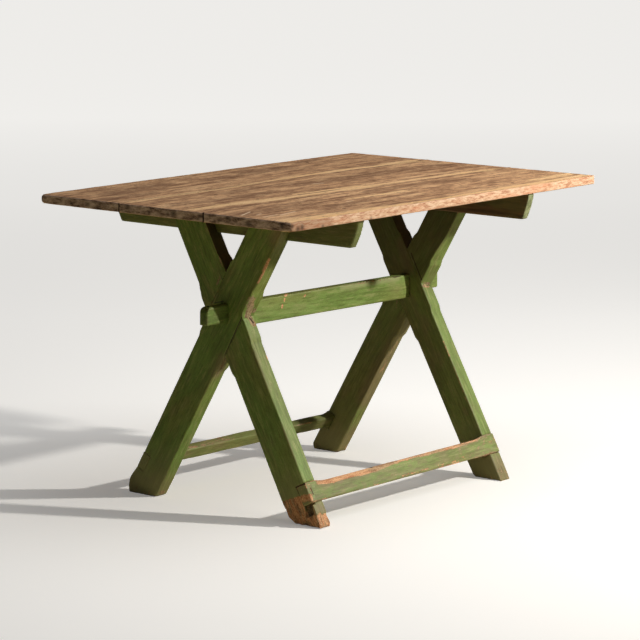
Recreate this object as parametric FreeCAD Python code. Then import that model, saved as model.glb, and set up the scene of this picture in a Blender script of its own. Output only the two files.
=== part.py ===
import FreeCAD
import Part
import math
import os
from types import SimpleNamespace

Vector = FreeCAD.Vector
Placement = FreeCAD.Placement
Rotation = FreeCAD.Rotation

# Trestle table in millimetres, +Z up. The origin is on the floor under the middle of the top.
# +X runs along the boards to the right end, and +Y from the front long side to the rear one.
# Each trestle is two crossed legs in one plane, halved together where they cross. Angles are in
# degrees from upright.

# Whole table
table_height = 750.0
top_length = 1160.0
overrun = 20.0

# Three boards of the top
board_thickness = 22.7
rear_board_width = 258.2
middle_board_width = 264.7
front_board_width = 263.3
seam_gap = 0.4
rear_board_seam_set_back = 3.5
rear_board_corner_set_back = 0.5
board_edge_radius = 3.0
board_corner_radius = 8.5
rear_left_corner_radius = 10.0

# Dowels across the two seams
seam_dowel_diameter = 8.0
seam_dowel_length = 44.0
seam_dowel_inset = 85.0
seam_dowel_count = 6
dowel_clearance = 0.1

# Battens on edge under the boards, let into the inner faces of the legs
batten_thickness = 23.0
left_batten_height = 65.3
left_batten_top_length = 772.0
left_batten_bottom_length = 722.0
left_batten_shift = 6.5
right_batten_height = 63.8
right_batten_top_length = 775.0
right_batten_bottom_length = 733.0
right_batten_shift = 0.5
batten_corner_radius = 5.0
batten_let_in = 9.8
joint_clearance = 0.2
batten_bulge_height_share = 0.36
batten_bulge_out_share = 0.47

# Trestles
leg_thickness = 38.9
base_set_back = 2.8
left_trestle_reach = 338.65
left_crossing_below_top = 273.0
left_rear_leg_angle = 30.67
left_front_leg_angle = 27.8
right_trestle_reach = 344.45
right_crossing_below_top = 281.8
right_rear_leg_angle = 30.53
right_front_leg_angle = 29.13

# How far the rear and front sides of each leg lie from its axis, above and below the crossing
left_rear_leg_above_rear = 44.3
left_rear_leg_above_front = 47.0
left_rear_leg_below_rear = 42.2
left_rear_leg_below_front = 44.2
left_front_leg_above_rear = 45.1
left_front_leg_above_front = 45.0
left_front_leg_below_rear = 45.3
left_front_leg_below_front = 41.5
right_rear_leg_above_rear = 39.9
right_rear_leg_above_front = 41.9
right_rear_leg_below_rear = 38.0
right_rear_leg_below_front = 39.0
right_front_leg_above_rear = 38.3
right_front_leg_above_front = 39.7
right_front_leg_below_rear = 37.7
right_front_leg_below_front = 38.2

# Fuller stretch of every leg at the crossing. It is longer on the sides that face each other.
facing_swell = 4.4
outer_swell = 3.6
facing_swell_reach_above = 117.0
facing_swell_reach_below = 132.0
outer_swell_reach = 82.0
swell_run_out = 14.0

# Worn feet: how far the wear runs in along the floor, and how high it rises
left_rear_toe_run = 11.0
left_rear_toe_rise = 33.0
left_front_toe_run = 4.0
left_front_toe_rise = 9.0
left_front_heel_run = 15.0
left_front_heel_rise = 11.0
right_rear_toe_run = 12.0
right_rear_toe_rise = 14.0
right_front_heel_run = 4.0
right_front_heel_rise = 6.0

# Centre stretcher, with a through tenon at each end
stretcher_thickness = 25.0
stretcher_rise = 22.5
stretcher_drop = 36.0
stretcher_set_back = 3.5
stretcher_corner_radius = 7.0
tenon_thickness = 24.0
tenon_height = 43.0
tenon_corner_radius = 10.0
left_tenon_reach = 73.0
right_tenon_reach = 78.0

# Low rail at the front, and the same sizes at the rear. The ends are taller and deeper than
# the run between them. Heights are taken along the slope of the leg, depths square to it.
front_rail_left_bottom = 59.3
front_rail_right_bottom = 65.0
front_rail_end_height = 50.0
front_rail_end_depth = 29.0
front_rail_run_lift = -1.3
front_rail_run_height = 47.0
front_rail_run_set_back = 1.5
front_rail_run_depth = 25.0
front_rail_underside_rise = 9.0
front_rail_shoulder = 4.0
front_rail_flare = 40.0
front_rail_proud = 2.0
rear_rail_left_bottom = 68.7
rear_rail_right_bottom = 68.7
rear_rail_end_height = 46.0
rear_rail_end_depth = 25.0
rear_rail_run_lift = 9.0
rear_rail_run_height = 33.5
rear_rail_underside_rise = 1.5
rear_rail_run_set_back = 4.0
rear_rail_run_depth = 21.0
rear_rail_shoulder = 3.0
rear_rail_flare = 24.0
rear_rail_proud = 1.0
flare_turn_share = 0.5
flare_sag_share = 0.25

# Hollow that has broken out of the left front leg, under the end of the front rail
hollow_depth = 10.0
hollow_height = 26.0
hollow_width = 27.0
hollow_lean = 8.0
hollow_edge = 2.0

# Wooden pegs of the two trestles. Those along X are driven from the right and stop short of the
# left face, and the pin of a tenon is driven from the rear corner of the crossing.
peg_cover = 6.0
crossing_peg_diameter = 12.0
crossing_peg_offset = 54.0
tenon_pin_diameter = 8.0
tenon_pin_tail = 9.0
batten_peg_diameter = 10.0
batten_peg_spacing = 34.0

# Iron nails
nail_diameter = 3.6
nail_head_diameter = 8.4
nail_head_thickness = 1.6
nail_point_length = 7.0
board_nail_length = 58.0
rail_nail_length = 66.0
rail_nail_spacing = 24.0
rail_nail_stagger = 12.0
nail_spread_share = 0.25

# Sizes worked out from the ones above
top_width = rear_board_width + middle_board_width + front_board_width + 2 * seam_gap
boards_underside = table_height - board_thickness
rear_seam_y = top_width / 2 - rear_board_width - seam_gap / 2
front_seam_y = front_board_width + seam_gap / 2 - top_width / 2


def trestle(sign, reach, crossing, rear_angle, front_angle, rear_leg, front_leg, batten):
    """Sizes of one trestle. sign is -1 for the left one and +1 for the right one. Each leg is given
    as its half widths above rear, above front, below rear and below front, and the batten as its
    height, its lengths at the top and the bottom, and its shift to the rear."""
    height, top_length_of_batten, bottom_length_of_batten, shift = batten
    return SimpleNamespace(
        sign=sign,
        middle=sign * reach,
        outer=sign * (reach + leg_thickness / 2),
        inner=sign * (reach - leg_thickness / 2),
        low=sign * reach - leg_thickness / 2,
        crossing=crossing,
        angle={1: math.radians(rear_angle), -1: math.radians(front_angle)},
        above={1: {1: rear_leg[0], -1: rear_leg[1]}, -1: {1: front_leg[0], -1: front_leg[1]}},
        below={1: {1: rear_leg[2], -1: rear_leg[3]}, -1: {1: front_leg[2], -1: front_leg[3]}},
        batten_underside=boards_underside - height,
        batten_height=height,
        batten_top=top_length_of_batten / 2,
        batten_bottom=bottom_length_of_batten / 2,
        batten_shift=shift,
    )


left = trestle(
    -1, left_trestle_reach, table_height - left_crossing_below_top,
    left_rear_leg_angle, left_front_leg_angle,
    (left_rear_leg_above_rear, left_rear_leg_above_front,
     left_rear_leg_below_rear, left_rear_leg_below_front),
    (left_front_leg_above_rear, left_front_leg_above_front,
     left_front_leg_below_rear, left_front_leg_below_front),
    (left_batten_height, left_batten_top_length, left_batten_bottom_length, left_batten_shift))
right = trestle(
    1, right_trestle_reach, table_height - right_crossing_below_top,
    right_rear_leg_angle, right_front_leg_angle,
    (right_rear_leg_above_rear, right_rear_leg_above_front,
     right_rear_leg_below_rear, right_rear_leg_below_front),
    (right_front_leg_above_rear, right_front_leg_above_front,
     right_front_leg_below_rear, right_front_leg_below_front),
    (right_batten_height, right_batten_top_length, right_batten_bottom_length, right_batten_shift))


def polygon(points):
    return Part.Face(Part.makePolygon(points + points[:1]))


def prism_x(points, start, length):
    """Solid along X from (y, z) points."""
    return polygon([Vector(start, y, z) for y, z in points]).extrude(Vector(length, 0, 0))


def box(x0, x1, y0, y1, z0, z1):
    return Part.makeBox(x1 - x0, y1 - y0, z1 - z0, Vector(x0, y0, z0))


def rod(diameter, length, start, direction):
    return Part.makeCylinder(diameter / 2, length, start, direction)


def group(solids):
    return Part.makeCompound(solids)


# Boards

def board(y0, y1, left_ends, x1, radii):
    """One board of the top. left_ends gives where its left end is at y0 and at y1, and radii the plan
    radius of its outer corners, by which end and side."""
    plan = [(left_ends[0], y0), (x1, y0), (x1, y1), (left_ends[1], y1)]
    blank = polygon([Vector(x, y, boards_underside) for x, y in plan]).extrude(Vector(0, 0, board_thickness))
    seam_sides = [y for y in (y0, y1) if abs(y) < top_width / 2 - board_corner_radius]
    for (end, side), radius in radii.items():
        corner_x = x1 if end > 0 else left_ends[max(side, 0)]
        corner = [e for e in blank.Edges
                  if abs(e.BoundBox.XLength) < seam_gap and abs(e.BoundBox.YLength) < seam_gap
                  and abs(e.BoundBox.Center.x - corner_x) < seam_gap
                  and abs(e.BoundBox.Center.y - (y0 if side < 0 else y1)) < seam_gap]
        blank = blank.makeFillet(radius, corner)
    rims = [e for e in blank.Edges
            if e.BoundBox.ZLength < seam_gap
            and all(abs(e.BoundBox.Center.y - y) > seam_gap for y in seam_sides)]
    return blank.makeFillet(board_edge_radius, rims)


def make_boards():
    end = top_length / 2
    side = top_width / 2
    rear_left_ends = (rear_board_seam_set_back - end, rear_board_corner_set_back - end)
    rear = board(rear_seam_y + seam_gap / 2, side, rear_left_ends, end,
                 {(-1, 1): rear_left_corner_radius, (1, 1): board_corner_radius})
    middle = board(front_seam_y + seam_gap / 2, rear_seam_y - seam_gap / 2, (-end, -end), end, {})
    front = board(-side, front_seam_y - seam_gap / 2, (-end, -end), end,
                  {(-1, -1): board_corner_radius, (1, -1): board_corner_radius})
    return rear, middle, front


def seam_dowels(seam_y, clearance):
    """Row of dowels across one seam, or their holes when there is a clearance."""
    first = seam_dowel_inset - top_length / 2
    pitch = -2 * first / (seam_dowel_count - 1)
    length = seam_dowel_length + 2 * clearance
    middle_z = table_height - board_thickness / 2
    return [rod(seam_dowel_diameter + 2 * clearance, length,
                Vector(first + i * pitch, seam_y - length / 2, middle_z), Vector(0, 1, 0))
            for i in range(seam_dowel_count)]


# Nails

def nail(length, start, direction, clearance=0.0):
    """Nail with its head flush at start, or its hole when there is a clearance."""
    shank = nail_diameter / 2 + clearance
    head = rod(nail_head_diameter + 2 * clearance, nail_head_thickness, start, direction)
    straight = length - nail_point_length
    body = Part.makeCylinder(shank, straight, start, direction)
    point = Part.makeCone(shank, 0, nail_point_length, start + direction * straight, direction)
    return head.fuse([body, point]).removeSplitter()


def board_nails(t, clearance=0.0):
    """Two nails in each board, down into the batten of one trestle."""
    x = batten_middle(t)
    rows = [(rear_seam_y, top_width / 2), (front_seam_y, rear_seam_y), (-top_width / 2, front_seam_y)]
    found = []
    for y0, y1 in rows:
        for step in (-1, 1):
            y = (y0 + y1) / 2 + step * (y1 - y0) * nail_spread_share
            found.append(nail(board_nail_length, Vector(x, y, table_height), Vector(0, 0, -1), clearance))
    return found


# Battens

def batten_middle(t):
    return t.inner + t.sign * (batten_let_in - batten_thickness / 2)


def batten(t):
    """Board on edge with rounded, outward sloping ends."""
    x0 = batten_middle(t) - batten_thickness / 2
    low = t.batten_bottom
    high = t.batten_top
    bulge_y = low + (high - low) * batten_bulge_out_share
    bulge_z = t.batten_underside + t.batten_height * batten_bulge_height_share
    shift = t.batten_shift
    corner = {}
    for side in (-1, 1):
        corner[side] = (Vector(x0, side * low + shift, t.batten_underside),
                        Vector(x0, side * bulge_y + shift, bulge_z),
                        Vector(x0, side * high + shift, boards_underside))
    front, rear = corner[-1], corner[1]
    edges = [Part.LineSegment(front[0], rear[0]), Part.Arc(*rear), Part.LineSegment(rear[2], front[2]),
             Part.Arc(*front)]
    wire = Part.Wire(Part.__sortEdges__([e.toShape() for e in edges]))
    solid = Part.Face(wire).extrude(Vector(batten_thickness, 0, 0))
    lower = [e for e in solid.Edges
             if e.BoundBox.ZMax < t.batten_underside + joint_clearance
             and e.BoundBox.YLength < joint_clearance]
    return solid.makeFillet(batten_corner_radius, lower)


def rebate(t):
    """What a leg loses to take the batten."""
    depth = batten_let_in + joint_clearance
    x_in = t.inner + t.sign * depth
    x_out = t.inner - t.sign * overrun
    return box(min(x_in, x_out), max(x_in, x_out), -top_width / 2, top_width / 2,
               t.batten_underside - joint_clearance, boards_underside + overrun)


# Legs. side is +1 for the leg whose foot is at the rear, and -1 for the other one.

def leg_axes(t, side):
    """Unit vectors up along a leg and across it towards the rear."""
    angle = t.angle[side]
    up = Vector(0, -side * math.sin(angle), math.cos(angle))
    across = Vector(0, math.cos(angle), side * math.sin(angle))
    return up, across


def leg_edge_y(t, side, z, face):
    """Where an edge of a leg's lower part is at height z. face is +1 for its outer edge and -1 for
    its inner one."""
    angle = t.angle[side]
    half = t.below[side][side * face]
    return base_set_back + side * ((t.crossing - z) * math.tan(angle) + face * half / math.cos(angle))


def leg_edge(t, side, face):
    """One edge of a leg as (distance up from the crossing, distance from the axis). face is +1 for
    the rear edge and -1 for the front one."""
    lean = math.cos(t.angle[side])
    above = t.above[side][face]
    below = t.below[side][face]
    if face == side:
        reach_above, swell_above = facing_swell_reach_above, facing_swell
        reach_below, swell_below = outer_swell_reach, outer_swell
    else:
        reach_above, swell_above = outer_swell_reach, outer_swell
        reach_below, swell_below = facing_swell_reach_below, facing_swell
    return [
        (-t.crossing / lean - 2 * below, below),
        (-reach_below - swell_run_out, below),
        (-reach_below, below + swell_below),
        (reach_above, above + swell_above),
        (reach_above + swell_run_out, above),
        ((boards_underside - t.crossing) / lean + 2 * above, above),
    ]


def leg_blank(t, side):
    """A leg before its joints are cut, level at the floor and under the boards."""
    up, across = leg_axes(t, side)
    centre = Vector(t.low, base_set_back, t.crossing)
    rear_edge = [centre + up * s + across * w for s, w in leg_edge(t, side, 1)]
    front_edge = [centre + up * s - across * w for s, w in reversed(leg_edge(t, side, -1))]
    blank = polygon(rear_edge + front_edge).extrude(Vector(leg_thickness, 0, 0))
    return blank.common(box(t.low, t.low + leg_thickness, -top_width, top_width, 0, boards_underside))


def foot_wear(t, side, face, run, rise):
    """Wedge that wear has taken from the toe (face +1) or the heel (face -1) of a foot."""
    out = side * face
    at_floor = leg_edge_y(t, side, 0, face)
    at_rise = leg_edge_y(t, side, rise, face)
    points = [(at_floor - out * run, 0), (at_rise, rise), (at_rise + out * overrun, rise),
              (at_floor + out * 2 * overrun, 0)]
    return prism_x(points, t.low, leg_thickness)


def halved(keep, other, t, kept_side):
    """A leg with the other leg's half of the crossing cut away. It keeps its half at kept_side in X."""
    x0 = t.low if kept_side > 0 else t.middle
    half = box(x0, x0 + leg_thickness / 2, -top_width, top_width, 0, table_height)
    return keep.cut(other.common(half))


def crossing_pegs(t, clearance=0.0):
    """Pegs through both halves of the crossing, above and below the tenon."""
    start_x = t.low + peg_cover - clearance
    return [rod(crossing_peg_diameter + 2 * clearance, t.low + leg_thickness - start_x,
                Vector(start_x, base_set_back, t.crossing + step * crossing_peg_offset), Vector(1, 0, 0))
            for step in (-1, 1)]


def batten_pegs(t, clearance=0.0):
    """Two pegs through the head of each leg and the batten beside it."""
    middle_z = t.batten_underside + t.batten_height / 2
    through = leg_thickness - batten_let_in + batten_thickness
    cover = peg_cover - clearance
    start_x = min(t.outer, t.outer - t.sign * through) + cover
    found = []
    for side in (-1, 1):
        middle_y = base_set_back - side * (middle_z - t.crossing) * math.tan(t.angle[side])
        for step in (-1, 1):
            y = middle_y + step * batten_peg_spacing / 2
            found.append(rod(batten_peg_diameter + 2 * clearance, through - cover,
                             Vector(start_x, y, middle_z), Vector(1, 0, 0)))
    return found


# Centre stretcher

def stretcher_z(x):
    """Height of the line that joins the middles of the two crossings."""
    fall = (right.crossing - left.crossing) / (right.middle - left.middle)
    return left.crossing + (x - left.middle) * fall


def stretcher_bar(x0, x1, drop, rise, thickness):
    """Bar along the line of the crossings."""
    middle_y = base_set_back + stretcher_set_back
    points = [Vector(x, middle_y - thickness / 2, stretcher_z(x) + dz)
              for x, dz in ((x0, -drop), (x1, -drop), (x1, rise), (x0, rise))]
    return polygon(points).extrude(Vector(0, thickness, 0))


def stretcher():
    """Bar between the trestles, with its two through tenons."""
    body = stretcher_bar(left.inner, right.inner, stretcher_drop, stretcher_rise, stretcher_thickness)
    lower = [e for e in body.Edges
             if e.BoundBox.XLength < joint_clearance and e.BoundBox.ZLength < joint_clearance
             and e.BoundBox.ZMax < stretcher_z(e.BoundBox.XMax)]
    body = body.makeFillet(stretcher_corner_radius, lower)
    tenon = stretcher_bar(left.outer - left_tenon_reach, right.outer + right_tenon_reach,
                          tenon_height / 2, tenon_height / 2, tenon_thickness)
    upper = [e for e in tenon.Edges
             if e.BoundBox.XLength < joint_clearance and e.BoundBox.ZLength < joint_clearance
             and e.BoundBox.ZMin > stretcher_z(e.BoundBox.XMax)]
    tenon = tenon.makeFillet(tenon_corner_radius, upper)
    return body.fuse(tenon).removeSplitter()


def mortise(t):
    """Hole through one crossing for the tenon."""
    half = tenon_height / 2 + joint_clearance
    return stretcher_bar(t.low - overrun, t.low + leg_thickness + overrun, half, half,
                         tenon_thickness + 2 * joint_clearance)


def rear_half_width(t, side):
    """Distance of a leg's rear edge from its axis, level with the crossing."""
    (low, low_width), (high, high_width) = leg_edge(t, side, 1)[2:4]
    return low_width - low * (high_width - low_width) / (high - low)


def tenon_pin(t, clearance=0.0):
    """Pin from the rear corner of the crossing through the tenon, in the outer half of the trestle."""
    rear_angle, front_angle = t.angle[1], t.angle[-1]
    rear_leg_half = rear_half_width(t, 1)
    front_leg_half = rear_half_width(t, -1)
    spread = math.sin(rear_angle + front_angle)
    corner_y = (rear_leg_half * math.sin(front_angle) + front_leg_half * math.sin(rear_angle)) / spread
    corner_z = (rear_leg_half * math.cos(front_angle) - front_leg_half * math.cos(rear_angle)) / spread
    start = Vector(t.outer - t.sign * leg_thickness / 4, base_set_back + corner_y, t.crossing + corner_z)
    far_y = base_set_back + stretcher_set_back - tenon_thickness / 2 - tenon_pin_tail
    return rod(tenon_pin_diameter + 2 * clearance, start.y - far_y + clearance, start, Vector(0, -1, 0))


# Low rails. A rail's own axes are X along it, Y square to the edges of the legs and Z up their slope.

front_rail_sizes = SimpleNamespace(
    side=-1, left_bottom=front_rail_left_bottom, right_bottom=front_rail_right_bottom,
    end_height=front_rail_end_height, end_depth=front_rail_end_depth, rise=front_rail_underside_rise,
    lift=front_rail_run_lift, height=front_rail_run_height, set_back=front_rail_run_set_back,
    depth=front_rail_run_depth, shoulder=front_rail_shoulder, flare=front_rail_flare,
    proud=front_rail_proud)
rear_rail_sizes = SimpleNamespace(
    side=1, left_bottom=rear_rail_left_bottom, right_bottom=rear_rail_right_bottom,
    end_height=rear_rail_end_height, end_depth=rear_rail_end_depth, rise=rear_rail_underside_rise,
    lift=rear_rail_run_lift, height=rear_rail_run_height, set_back=rear_rail_run_set_back,
    depth=rear_rail_run_depth, shoulder=rear_rail_shoulder, flare=rear_rail_flare,
    proud=rear_rail_proud)


def rail_place(r):
    """Where a rail lies: tilted with the legs, from the left trestle's edge to the right one's."""
    tilt = (left.angle[r.side] + right.angle[r.side]) / 2
    start_y = leg_edge_y(left, r.side, r.left_bottom, 1)
    end_y = leg_edge_y(right, r.side, r.right_bottom, 1)
    span = right.middle - left.middle
    skew = math.atan2(end_y - start_y, span)
    climb = math.atan2(r.right_bottom - r.left_bottom, span)
    level = Rotation(Vector(0, 0, 1), math.degrees(skew)).multiply(
        Rotation(Vector(0, -1, 0), math.degrees(climb)))
    turn = level.multiply(Rotation(Vector(1, 0, 0), r.side * math.degrees(tilt)))
    start = Vector(left.middle, start_y + r.side * r.proud * math.cos(tilt),
                   r.left_bottom + r.proud * math.sin(tilt))
    return Placement(start, turn)


def waisted_edge(r, at_ends, in_run, point):
    """Edges of one side of a rail, at one level at its ends and at another between them."""
    span = right.middle - left.middle
    x0 = -leg_thickness / 2 - overrun
    x1 = leg_thickness / 2 + r.shoulder
    x2 = x1 + r.flare
    turn = r.flare * flare_turn_share
    sag = in_run + (at_ends - in_run) * flare_sag_share
    near = [point(x0, at_ends), point(x1, at_ends), point(x1 + turn, sag), point(x2, in_run)]
    far = [point(span - x0, at_ends), point(span - x1, at_ends), point(span - x1 - turn, sag),
           point(span - x2, in_run)]
    if at_ends == in_run:
        edges = [Part.LineSegment(near[0], far[0])]
    else:
        edges = [Part.LineSegment(near[3], far[3])]
        for side in (near, far):
            edges += [Part.LineSegment(side[0], side[1]), Part.Arc(side[1], side[2], side[3])]
    return [e.toShape() for e in edges], near[0], far[0]


def waisted_face(r, lower, upper, point):
    """Face between two waisted edges, each given as its level at the ends and in the run."""
    low_edges, low_near, low_far = waisted_edge(r, *lower, point)
    high_edges, high_near, high_far = waisted_edge(r, *upper, point)
    ends = [Part.LineSegment(low_near, high_near).toShape(), Part.LineSegment(low_far, high_far).toShape()]
    return Part.Face(Part.Wire(Part.__sortEdges__(low_edges + high_edges + ends)))


def planed_underside(r):
    """What planing has taken from under the run of a rail, most of it at its inner face."""
    inward = -r.side
    x0 = leg_thickness / 2 + r.shoulder
    x1 = right.middle - left.middle - x0
    outline = [(0, r.lift), (r.end_depth, r.lift + r.rise), (r.end_depth, -overrun), (0, -overrun)]
    return polygon([Vector(x0, inward * v, z) for v, z in outline]).extrude(Vector(x1 - x0, 0, 0))


def rail(r):
    """A rail, thick at its ends and slimmer between them, trimmed flush with the outer faces."""
    inward = -r.side
    low = min(r.lift, 0)
    elevation = waisted_face(r, (0, r.lift), (r.end_height, r.lift + r.height),
                             lambda x, v: Vector(x, 0, v))
    plan = waisted_face(r, (0, r.set_back), (r.end_depth, r.set_back + r.depth),
                        lambda x, v: Vector(x, inward * v, low))
    tall = elevation.extrude(Vector(0, inward * r.end_depth, 0))
    deep = plan.extrude(Vector(0, 0, r.end_height - low))
    solid = tall.common(deep).cut(planed_underside(r))
    solid.Placement = rail_place(r)
    return solid.common(box(left.outer, right.outer, -top_width, top_width, 0, table_height))


def rail_notch(r):
    """What the legs lose to take the ends of a rail."""
    inward = -r.side
    y0 = inward * -overrun
    y1 = inward * (r.end_depth + joint_clearance)
    notch = box(-leg_thickness / 2 - overrun, right.middle - left.middle + leg_thickness / 2 + overrun,
                min(y0, y1), max(y0, y1), -joint_clearance, r.end_height + joint_clearance)
    notch.Placement = rail_place(r)
    return notch


def rail_nails(r, clearance=0.0):
    """Two nails through each end of a rail into its leg."""
    found = []
    for middle in (0, right.middle - left.middle):
        for step in (-1, 1):
            start = Vector(middle + step * rail_nail_stagger / 2, 0,
                           r.end_height / 2 + step * rail_nail_spacing / 2)
            piece = nail(rail_nail_length, start, Vector(0, -r.side, 0), clearance)
            piece.Placement = rail_place(r)
            found.append(piece)
    return found


def broken_hollow():
    """Hollow in the outer face of the left front leg, under the rail."""
    x0 = -leg_thickness / 2 - overrun
    outline = [(hollow_edge, 0), (hollow_width, 0), (hollow_width + hollow_lean, -hollow_height),
               (hollow_edge + hollow_lean, -hollow_height)]
    cut = polygon([Vector(x0, y, z) for y, z in outline]).extrude(Vector(overrun + hollow_depth, 0, 0))
    cut.Placement = rail_place(front_rail_sizes)
    return cut


# Assembly

def make_trestle(t, kept_side):
    """The two legs of a trestle. The rear-footed leg keeps its half of the crossing at kept_side in X."""
    rear = leg_blank(t, 1)
    front = leg_blank(t, -1)
    rear_leg = halved(rear, front, t, kept_side)
    front_leg = halved(front, rear, t, -kept_side)
    holes = [mortise(t), rebate(t), tenon_pin(t, dowel_clearance)]
    holes += crossing_pegs(t, dowel_clearance) + batten_pegs(t, dowel_clearance)
    legs = {}
    for side, leg, sizes in ((1, rear_leg, rear_rail_sizes), (-1, front_leg, front_rail_sizes)):
        legs[side] = leg.cut(holes + [rail_notch(sizes)] + rail_nails(sizes, dowel_clearance))
    return legs


def make_table():
    """Every piece of the table, by name."""
    rear_board, middle_board, front_board = make_boards()
    nail_holes = board_nails(left, dowel_clearance) + board_nails(right, dowel_clearance)
    rear_holes = seam_dowels(rear_seam_y, dowel_clearance)
    front_holes = seam_dowels(front_seam_y, dowel_clearance)
    left_legs = make_trestle(left, -1)
    right_legs = make_trestle(right, 1)
    left_rear = left_legs[1].cut(foot_wear(left, 1, 1, left_rear_toe_run, left_rear_toe_rise))
    left_front = left_legs[-1].cut([
        foot_wear(left, -1, 1, left_front_toe_run, left_front_toe_rise),
        foot_wear(left, -1, -1, left_front_heel_run, left_front_heel_rise),
        broken_hollow()])
    right_rear = right_legs[1].cut(foot_wear(right, 1, 1, right_rear_toe_run, right_rear_toe_rise))
    right_front = right_legs[-1].cut(
        foot_wear(right, -1, -1, right_front_heel_run, right_front_heel_rise))
    pin_holes = [tenon_pin(left, dowel_clearance), tenon_pin(right, dowel_clearance)]
    return {
        "top_board_rear": rear_board.cut(nail_holes + rear_holes),
        "top_board_middle": middle_board.cut(nail_holes + rear_holes + front_holes),
        "top_board_front": front_board.cut(nail_holes + front_holes),
        "rear_seam_dowels": group(seam_dowels(rear_seam_y, 0)),
        "front_seam_dowels": group(seam_dowels(front_seam_y, 0)),
        "left_batten": batten(left).cut(nail_holes + batten_pegs(left, dowel_clearance)),
        "right_batten": batten(right).cut(nail_holes + batten_pegs(right, dowel_clearance)),
        "left_board_nails": group(board_nails(left)),
        "right_board_nails": group(board_nails(right)),
        "left_rear_leg": left_rear,
        "left_front_leg": left_front,
        "right_rear_leg": right_rear,
        "right_front_leg": right_front,
        "left_batten_pegs": group(batten_pegs(left)),
        "right_batten_pegs": group(batten_pegs(right)),
        "left_crossing_pegs": group(crossing_pegs(left)),
        "right_crossing_pegs": group(crossing_pegs(right)),
        "left_tenon_pin": tenon_pin(left),
        "right_tenon_pin": tenon_pin(right),
        "centre_stretcher": stretcher().cut(pin_holes),
        "front_rail": rail(front_rail_sizes).cut(rail_nails(front_rail_sizes, dowel_clearance)),
        "rear_rail": rail(rear_rail_sizes).cut(rail_nails(rear_rail_sizes, dowel_clearance)),
        "front_rail_nails": group(rail_nails(front_rail_sizes)),
        "rear_rail_nails": group(rail_nails(rear_rail_sizes)),
    }


os.makedirs("parts", exist_ok=True)
for name, shape in make_table().items():
    shape.exportStep("parts/" + name + ".step")
    b = shape.BoundBox
    print(name, len(shape.Solids), "solids", "valid" if shape.isValid() else "NOT VALID",
          [round(v, 1) for v in (b.XMin, b.XMax, b.YMin, b.YMax, b.ZMin, b.ZMax)], round(shape.Volume))
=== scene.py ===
import bpy
import bmesh
import itertools
import math
import numpy as np
from mathutils import Euler, Matrix, Vector
from mathutils.kdtree import KDTree


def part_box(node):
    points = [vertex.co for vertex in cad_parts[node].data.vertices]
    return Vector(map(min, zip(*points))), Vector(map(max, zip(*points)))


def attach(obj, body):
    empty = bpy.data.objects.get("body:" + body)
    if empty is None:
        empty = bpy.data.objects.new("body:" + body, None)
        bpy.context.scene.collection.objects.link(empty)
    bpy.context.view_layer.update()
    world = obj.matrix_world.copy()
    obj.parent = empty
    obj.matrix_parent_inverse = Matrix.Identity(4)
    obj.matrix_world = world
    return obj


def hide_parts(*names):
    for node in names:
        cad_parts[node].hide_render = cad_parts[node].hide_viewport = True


# Trestle table with a scrubbed plank top and a worn green base. Metres, +Z up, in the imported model's frame.
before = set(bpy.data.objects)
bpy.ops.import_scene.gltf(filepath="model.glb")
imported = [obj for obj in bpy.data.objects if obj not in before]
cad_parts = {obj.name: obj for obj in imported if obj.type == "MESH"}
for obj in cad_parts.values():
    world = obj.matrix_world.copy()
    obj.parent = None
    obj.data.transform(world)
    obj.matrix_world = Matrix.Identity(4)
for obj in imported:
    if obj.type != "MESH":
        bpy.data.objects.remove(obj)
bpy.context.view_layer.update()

# Camera, at the photograph's place
camera_place = (-5.7091, -4.8229, 1.6665)
camera_azimuth = 49.73
camera_elevation = 9.50
camera_lens = 174.23
camera_sensor = 36.0
camera_far_end = 200.0

# Light: a small key lamp at the front right, wide soft lamps above and in front, a low even light all round
key_azimuth = -63.8
key_elevation = 28.6
key_reach = 2.8
key_strength = 80.0
key_size = 0.13
key_colour = (1.0, 0.97, 0.91)
top_fill_strength = 66.0
top_fill_size = 4.0
top_fill_place = (0.6, -1.2, 4.0)
front_fill_strength = 5.0
front_fill_size = 3.0
front_fill_place = (-0.3, -6.0, 1.6)
light_aim = (0.0, 0.0, 0.3)
world_strength = 0.05
backdrop_strength = 0.9

# Floor: paler away from the key lamp, and glowing more and more behind the table, so that it stays even.
# Its seen colours are for the camera, and its thrown ones for the light that it sends back to the table.
floor_half_size = 60.0
floor_seen_near_lamp = (0.68, 0.665, 0.645, 1)
floor_seen_away = (1.0, 0.985, 0.96, 1)
floor_thrown_near_lamp = (0.28, 0.24, 0.14, 1)
floor_thrown_away = (0.85, 0.79, 0.50, 1)
floor_glow_tint = (1.0, 0.985, 0.955, 1)
floor_near_lamp = (1.0, -2.2)
floor_even_from = 0.6
floor_even_to = 3.6
floor_glow = [(0.0, 0.20), (0.05, 0.23), (0.11, 0.36), (0.25, 0.48), (0.56, 0.67), (0.9, 0.80)]
floor_glow_reach = 10.0

# Fineness of the meshes
timber_voxel = 0.0020
batten_voxel = 0.0030
least_arris = 0.003
arris_spacing = 0.002
sharp_angle = math.radians(35)
board_rim_steps = [0.0, 0.0006, 0.0013, 0.0021, 0.0030, 0.0045, 0.0070]
board_side_steps = [0.0, 0.0004, 0.0009, 0.0016, 0.0030, 0.0050]
board_step_along = 0.0042
board_step_across = 0.0034
board_step_thick = 0.0030

# Rounding of the boards: their edges, the edges along the seams, and their outer corners in plan. Softness is
# extra rounding near a corner. The left end of the rear board falls back towards its seam.
board_edge_round = 0.0030
board_seam_round = 0.0012
board_corner_round = 0.0065
board_left_rear_round = 0.009
board_near_round = 0.0085
board_near_softness = 0.0040
board_corner_softness = 0.0060
board_corner_reach = 0.045
rear_board_skew = 0.0030

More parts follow.
